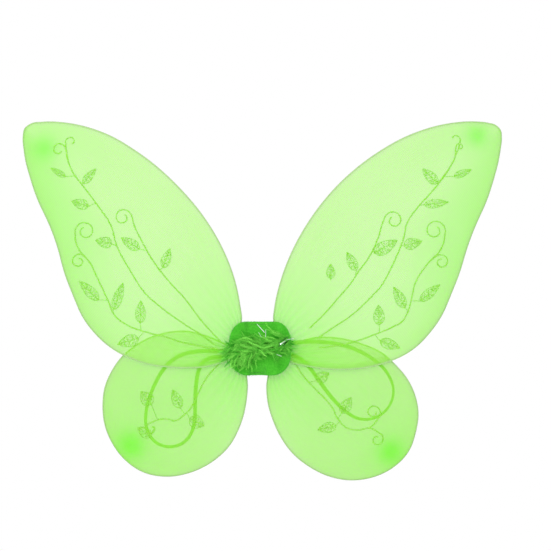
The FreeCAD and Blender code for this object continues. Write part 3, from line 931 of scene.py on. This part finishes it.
def bare_edge(x, z):
    """1 at the bare top and bottom edges, where no wing keeps the two pads apart, fading to 0."""
    top = math.exp(-((z - PAD_HALF_HEIGHT) / 10) ** 2) * math.exp(-(x / 13.5) ** 6)
    bottom = math.exp(-((z + PAD_HALF_HEIGHT) / 10) ** 2) * math.exp(-(x / 9.5) ** 6)
    return max(top, bottom)


def pad_dip(x, z):
    """How far the front pad is drawn back to the rear one at its bare edges."""
    return 7.2 * bare_edge(x, z)


def tie_bulge(x, z):
    """How far the front pad is pushed out over the upper wings' gathered necks and ties."""
    return 1.9 * math.exp(-((abs(x) - 19) / 7.5) ** 4 - ((z - 3.7) / 8) ** 4)


FIBRES = 2600               # loose fibres on each half of a pad


def felt_pad(name, low_y, high_y, dips, fuzz_side):
    """A felt pad in two halves, one for each side."""
    draw = random.Random(name)
    outline = pad_outline()
    centre = np.array([0.0, 0.0])
    rings = 30
    thick = high_y - low_y
    front, back = [], []
    for i in range(rings + 1):
        share = 1 - (1 - i / rings) ** 1.4
        for point in outline:
            x, z = centre + (point - centre) * share
            edge = max(0.0, (share - 0.93) / 0.07)
            round_off = thick / 2 * (1 - math.sqrt(max(0.0, 1 - edge ** 2)))
            lump = 0.22 * noise.noise((x * 0.12, low_y, z * 0.12))
            lump += 0.1 * noise.noise((x * 0.5, low_y, z * 0.5))
            dip = pad_dip(x, z) - tie_bulge(x, z) if dips else -1.2 * bare_edge(x, z)
            front.append((x, low_y + round_off + dip + lump * (fuzz_side < 0), z))
            back.append((x, high_y - round_off + dip - abs(lump) * (fuzz_side > 0), z))
    sides = len(outline)
    faces = grid_faces(rings + 1, sides, closed=True)
    faces += [tuple(reversed(f)) for f in grid_faces(rings + 1, sides, len(front), closed=True)]
    rim = rings * sides
    for j in range(sides):
        k = (j + 1) % sides
        faces.append((rim + j, rim + k, len(front) + rim + k, len(front) + rim + j))
    whole = make_mesh(name, front + back, faces, FELT)
    halves = []
    for side, side_name in SIDE_NAMES.items():
        half = whole.copy()
        half.data = whole.data.copy()
        half.name = f"{name}_{side_name}_half"
        bpy.context.scene.collection.objects.link(half)
        with editing(half.data) as work:
            bmesh.ops.remove_doubles(work, verts=work.verts, dist=SEAM)
            geometry = list(work.verts) + list(work.edges) + list(work.faces)
            cut = bmesh.ops.bisect_plane(work, geom=geometry, plane_co=(0, 0, 0), plane_no=(side, 0, 0),
                                         clear_inner=True)
            rim_edges = [e for e in cut["geom_cut"] if isinstance(e, bmesh.types.BMEdge)]
            bmesh.ops.holes_fill(work, edges=rim_edges)
            bmesh.ops.recalc_face_normals(work, faces=work.faces)
        add_fuzz(half, draw)
        half.data.set_sharp_from_angle(angle=math.radians(55))
        bend_at_hub(half)
        halves.append(half)
    bpy.data.objects.remove(whole)
    return halves


def add_fuzz(pad, draw):
    """Loose wool fibres that stand off the felt, more of them round its edge."""
    mesh = pad.data
    polygons = [p for p in mesh.polygons if abs(p.center.x) > 1e-4 or abs(p.normal.x) < 0.9]
    weights = [p.area * (5.0 if abs(p.normal.y) < 0.8 else 1.0) for p in polygons]
    chosen = draw.choices(polygons, weights, k=FIBRES)
    fibres = []
    for polygon in chosen:
        corners = [mesh.vertices[k].co for k in polygon.vertices]
        weight = [draw.random() for _ in corners]
        total = sum(weight)
        foot = sum((c * (w / total) for c, w in zip(corners, weight)), Vector())
        lean = Vector((draw.gauss(0, 1), draw.gauss(0, 1), draw.gauss(0, 1))).normalized()
        lift = 0.35 if abs(polygon.normal.y) > 0.8 else 0.9
        way = (polygon.normal * lift + lean * 0.9).normalized()
        length = draw.uniform(0.8, 2.2) * MM
        wide = lean.cross(way).normalized() * 0.07 * MM
        bend = polygon.normal * draw.uniform(-0.2, 0.3) * length
        middle = foot + way * length * 0.55 + bend
        tip = foot + way * length
        foot = foot - polygon.normal * 0.15 * MM
        fibres.append((foot - wide, foot + wide, middle + wide * 0.7, middle - wide * 0.7, tip))
    with editing(mesh) as work:
        for fibre in fibres:
            points = [work.verts.new(p) for p in fibre]
            work.faces.new((points[0], points[1], points[2], points[3]))
            work.faces.new((points[3], points[2], points[4]))


front_halves = felt_pad("front_pad", *FRONT_PAD_Y, True, -1)
back_halves = felt_pad("back_pad", *BACK_PAD_Y, False, 1)
for halves, node in ((front_halves, "front_felt_pad"), (back_halves, "back_felt_pad")):
    for half in halves:
        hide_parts(node)


# ---- marabou and tinsel
def bulk_at(x):
    """Half height of the down at x: full on the left, thin in the middle, a tuft on the right."""
    stations = [(-46, 4), (-40, 11), (-30, 18), (-20, 20), (-9, 18), (2, 16), (14, 14), (26, 14),
                (36, 13), (44, 4)]
    xs, bulks = zip(*stations)
    return float(np.interp(x, xs, bulks))


def marabou():
    """Down on a cord: locks of fine tapered barbs that leave the cord, bend over and lie on the pad."""
    draw = random.Random("marabou")
    parts = {-1: ([], [], []), 1: ([], [], [])}
    cord_line = resample(free_run(FEATHER_ROUTE), 90)

    def ribbon(points, width, tone_and_painted_shade):
        side = -1 if points[0][0] < 0 else 1
        verts, faces, values = parts[side]
        base = len(verts)
        count = len(points)
        lean = Vector((draw.uniform(-0.4, 0.4), 1, draw.uniform(-0.4, 0.4)))
        for i, point in enumerate(points):
            ahead = points[min(i + 1, count - 1)] - points[max(i - 1, 0)]
            across = ahead.cross(lean).normalized()
            half = width / 2 * (1 - 0.85 * i / (count - 1))
            verts.append(tuple(point - across * half))
            verts.append(tuple(point + across * half))
            values += [tone_and_painted_shade[0] + (tone_and_painted_shade[1] - tone_and_painted_shade[0]) * i / (count - 1)] * 2
        for i in range(count - 1):
            a = base + 2 * i
            faces.append((a, a + 1, a + 3, a + 2))

    def held_off(point):
        floor_y = FRONT_PAD_Y[0] - 0.4 - tie_bulge(point.x, point.z)
        if abs(point.x - PAD_CENTRE_X) < PAD_HALF_WIDTH + 1:
            point.y = min(point.y, floor_y)
        else:
            point.y = min(point.y, UPPER_PLANE_Y - 2.2)
        return point

    def lock(foot, way, reach, rise, tone):
        """A lock of barbs that share one bent path and close up towards its tip."""
        spine = [foot]
        flat = Vector((math.cos(way), 0, math.sin(way)))
        bend = draw.gauss(0.02, 0.05)
        wave = draw.uniform(0, 2 * math.pi)
        steps = 10
        for i in range(steps):
            share = i / (steps - 1)
            climb = rise * (1 - 2.3 * share)
            turn = bend * i + 0.25 * math.sin(wave + 0.7 * i)
            heading = Vector((flat.x * math.cos(turn) - flat.z * math.sin(turn), -climb,
                              flat.x * math.sin(turn) + flat.z * math.cos(turn)))
            spine.append(held_off(spine[-1] + heading.normalized() * reach / steps))
        for _ in range(7):
            start = Vector((draw.gauss(0, 1), draw.gauss(0, 0.7), draw.gauss(0, 1)))
            close = Vector((draw.gauss(0, 1), draw.gauss(0, 0.6), draw.gauss(0, 1)))
            length = draw.uniform(0.65, 1.1)
            points = []
            for i in range(steps + 1):
                share = i / steps * length
                position = min(share, 1.0) * steps
                k = min(int(position), steps - 1)
                base = spine[k].lerp(spine[k + 1], position - k)
                points.append(held_off(base + start * 0.9 * (1 - share) + close * 0.6 * share))
            shade = min(1.0, max(0.0, tone + draw.gauss(0, 0.12)))
            # each barb runs from half its tone at the root to full at the tip: painted shade deep in the
            # down
            ribbon(points, draw.uniform(0.3, 0.5), (shade * 0.5, shade))
            for k in range(3, steps + 1):
                heading = (points[k] - points[k - 1]).normalized()
                for sign in (-1, 1):
                    side_way = heading.cross(Vector((0, 1, 0))) * sign + heading * 0.9
                    side_way += Vector((draw.gauss(0, 0.3), draw.gauss(0, 0.35), draw.gauss(0, 0.3)))
                    tip = held_off(points[k] + side_way.normalized() * draw.uniform(0.5, 1.3))
                    middle = (points[k] + tip) / 2 + Vector((0, -0.1, 0))
                    # side fibres run lighter to their tips: painted shade nearer the barb
                    ribbon([points[k], middle, tip], 0.2, (shade * 0.8, min(1.0, shade * 1.25)))

    # how many locks, where their roots lie along the cord and up from it, which way they go and
    # how far that scatters, how long they are, and how dark against the rest; darker tufts, such as the one
    # below the tinsel, are partly painted shade
    tufts = [(64, (-8, 32), (-1, 17), (172, 16), (14, 30), 1.0),
             (92, (-36, -6), (-10, 13), (206, 32), (9, 17), 1.0),
             (58, (-29, 2), (-10, 0), (250, 22), (11, 17), 0.9),
             (26, (-4, 22), (-4, 6), (-14, 22), (10, 20), 1.0),
             (64, (16, 36), (-7, 8), (-42, 36), (9, 16), 0.55),
             (18, (20, 36), (-2, 8), (40, 30), (7, 10), 0.8),
             (80, (-38, 36), (-10, 13), (180, 110), (5, 9), 0.8)]
    for count, along, up, (way, scatter), reach, tone in tufts:
        for _ in range(count):
            x = draw.uniform(*along)
            z = float(np.interp(x, cord_line[:, 0], cord_line[:, 1]))
            off = draw.uniform(*up) * bulk_at(x) / 17
            foot = Vector((x, FEATHER_Y + draw.uniform(-2.5, 2.0) + 0.25 * abs(off), z + off))
            # each lock's tone is drawn from near black to full: the dark locks are partly painted shade of
            # the gaps in the down
            lock(foot, math.radians(draw.gauss(way, scatter)), draw.uniform(*reach),
                 draw.uniform(0.25, 0.7), tone * draw.choice([0.05, 0.35, 0.5, 0.6, 0.75, 0.95]))
    for side, side_name in SIDE_NAMES.items():
        verts, faces, values = parts[side]
        piece = make_mesh(f"marabou_{side_name}", verts, faces, DOWN, values={"shade": values})
        bend_at_hub(piece)
        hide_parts("feather_plumes", "feather_cord")


marabou()


def tinsel(name, strands, film):
    """Flat film strands that spring out from under the down, each with its own twist and curl."""
    draw = random.Random(name)
    verts, faces = [], []
    for (x, y, z), heading, lean, length, radius, width in strands:
        way = math.radians(heading)
        flat = Vector((math.cos(way), 0, math.sin(way)))
        place = Vector((x, y, z))
        base = len(verts)
        steps = 18
        spin = draw.uniform(-0.5, 0.5)
        for i in range(steps + 1):
            tilt = math.radians(lean) - length / radius * i / steps * 0.9
            direction = (flat * math.cos(tilt) + Vector((0, -1, 0)) * math.sin(tilt)).normalized()
            side_way = direction.cross(Vector((0, 1, 0))).normalized()
            up = side_way.cross(direction)
            twist = spin + 0.9 * i / steps
            across = (side_way * math.cos(twist) + up * math.sin(twist)) * width / 2
            skin = (up * math.cos(twist) - side_way * math.sin(twist)) * 0.05
            for corner in (across + skin, across - skin, -across - skin, -across + skin):
                verts.append(tuple(place + corner))
            place = place + direction * (length / steps)
        faces += grid_faces(steps + 1, 4, base, closed=True)
        faces.append((base, base + 1, base + 2, base + 3))
        last = base + steps * 4
        faces.append((last + 3, last + 2, last + 1, last))
    piece = facing_out(make_mesh(name, verts, faces, film, smooth=False))
    if min(x for (x, _, _), *_ in strands) < 15:
        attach(piece, "hub")
    else:
        bend_at_hub(piece)
    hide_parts("tinsel_strands")


tinsel("tinsel_middle", [((8.5, -17.5, 19.0), 132, 12, 14.5, 40.0, 0.7),
                         ((9.5, -19.5, 14.0), 88, 16, 9.0, 25.0, 0.45),
                         ((4.5, -19.0, 14.0), 118, 18, 7.0, 22.0, 0.3)], SILVER_FILM)
tinsel("tinsel_right", [((26.5, -25.2, 5.5), 36, 8, 9.5, 45.0, 1.0),
                        ((33.5, -24.6, 11.0), 8, 4, 9.0, 30.0, 0.4),
                        ((22.5, -25.0, -6.0), -22, 6, 6.0, 14.0, 0.4)], SILVER_FILM)
# the dark strands either side of the silver are partly painted shade of the gap under the down
tinsel("tinsel_right_green", [((24.5, -25.4, 3.2), 30, 8, 14.0, 40.0, 1.2),
                              ((27.0, -25.4, 8.6), 34, 10, 10.5, 28.0, 1.0),
                              ((29.5, -24.8, 3.8), 44, 4, 9.5, 26.0, 0.9)], DARK_FILM_AND_SHADE)


# ---- stitching
def stitch(centre, way, length, front_y, back_y):
    """One stitch through the layers: a rounded bar of thread on each face."""
    verts, faces = [], []
    for face_y, out in ((front_y, -1), (back_y, 1)):
        path = []
        for i in range(13):
            angle = math.pi * i / 12
            along = -length / 2 * math.cos(angle)
            path.append((centre[0] + way[0] * along, face_y + out * (0.5 * math.sin(angle) - 0.15),
                         centre[1] + way[1] * along))
        points, quads = tube_any(path, 0.34)
        faces += [tuple(len(verts) + k for k in quad) for quad in quads]
        verts += points
    return verts, faces


def stitching(name, stitches, node):
    """Stitches of one side, in one piece."""
    verts, faces = [], []
    for each in stitches:
        points, quads = stitch(*each)
        faces += [tuple(len(verts) + k for k in quad) for quad in quads]
        verts += points
    piece = facing_out(make_mesh(name, verts, faces, THREAD))
    bend_at_hub(piece)
    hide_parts(node)


def pad_stitches(side):
    """Running stitches that draw the two pads together where no wing lies between them."""
    stitches = []
    for level, places in ((1, (2.5, 7.0)), (-1, (1.5, 5.5))):
        for x in places:
            z = level * (PAD_HALF_HEIGHT - 3.0)
            stitches.append(((side * x, z), (1, 0), 2.8, FRONT_PAD_Y[0] + pad_dip(x, z) + 0.1,
                             BACK_PAD_Y[1] - 1.2 * bare_edge(x, z)))
    return stitches


def loop_stitches(route):
    """Two stitches through each sewn end of an arm loop and the back pad."""
    stitches = []
    for end, inner in ((route[0], route[1]), (route[-1], route[-2])):
        outward = unit(minus(inner, end))
        for i in (1, 2):
            centre = (end[0] + outward[0] * 2.6 * i, end[1] + outward[1] * 2.6 * i)
            stitches.append((centre, (0, 1), 3.6, STRAP_Y - STRAP_THICKNESS / 2, BACK_PAD_Y[1]))
    return stitches


def tube_any(path, radius, sides=8):
    """Points and faces of a round bar along a short path that may point any way."""
    points = [Vector(p) for p in path]
    verts = []
    for i, point in enumerate(points):
        ahead = (points[min(i + 1, len(points) - 1)] - points[max(i - 1, 0)]).normalized()
        across = ahead.cross(Vector((0, 0, 1)) if abs(ahead.z) < 0.9 else Vector((1, 0, 0))).normalized()
        up = across.cross(ahead)
        for a, b in ring(radius, sides):
            verts.append(tuple(point + across * a + up * b))
    faces = grid_faces(len(points), sides, closed=True)
    faces.append(tuple(range(sides)))
    faces.append(tuple(reversed(range((len(points) - 1) * sides, len(points) * sides))))
    return verts, faces


for side, route in ((-1, LEFT_STRAP), (1, RIGHT_STRAP)):
    side_name = SIDE_NAMES[side]
    stitching(f"pad_stitches_{side_name}", pad_stitches(side), "pad_stitching")
    stitching(f"arm_loop_stitches_{side_name}", loop_stitches(route), f"{side_name}_arm_loop_stitching")

# ---- CAD nodes that stay
KEPT = {"hub_wires": WIRE, "hub_tape_binding": TAPE, "upper_left_gather_tie": THREAD,
        "upper_right_gather_tie": THREAD, "lower_left_gather_tie": THREAD, "lower_right_gather_tie": THREAD}
for node, material in KEPT.items():
    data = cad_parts[node].data
    data.materials.clear()
    data.materials.append(material)


# ---- floor and light
def floor():
    """A wide pale disc well below the wings, which are held up as a wearer's back holds them."""
    count = 96
    height = -640
    verts = [(0, 0, height)] + [(x, y, height) for x, y in ring(1400, count)]
    faces = [(0, 1 + k, 1 + (k + 1) % count) for k in range(count)]
    n = Nodes("pale_floor")
    paper = n.noise(n.place(), 60, 4)
    n.set(Base_Color=n.blend(paper, (0.90, 0.90, 0.90), (0.94, 0.94, 0.94)), Roughness=0.9)
    make_mesh("floor", verts, faces, n.material)


def area_light(name, place, target, size, power):
    light = bpy.data.lights.new(name, "AREA")
    light.energy = power
    light.size = size
    holder = bpy.data.objects.new(name, light)
    holder.location = place
    holder.rotation_euler = (Vector(target) - Vector(place)).to_track_quat("-Z", "Y").to_euler()
    bpy.context.scene.collection.objects.link(holder)


floor()
area_light("key", (-0.9, -1.4, 1.3), (0, 0, 0.05), 1.0, 9)
area_light("fill_back", (0.8, 1.4, 1.0), (0, 0, 0.05), 1.2, 6)
world = bpy.data.worlds.new("studio")
world.use_nodes = True
world.node_tree.nodes["Background"].inputs["Color"].default_value = (1, 1, 1, 1)
world.node_tree.nodes["Background"].inputs["Strength"].default_value = 1.0
bpy.context.scene.world = world
bpy.context.scene.view_settings.view_transform = "Standard"
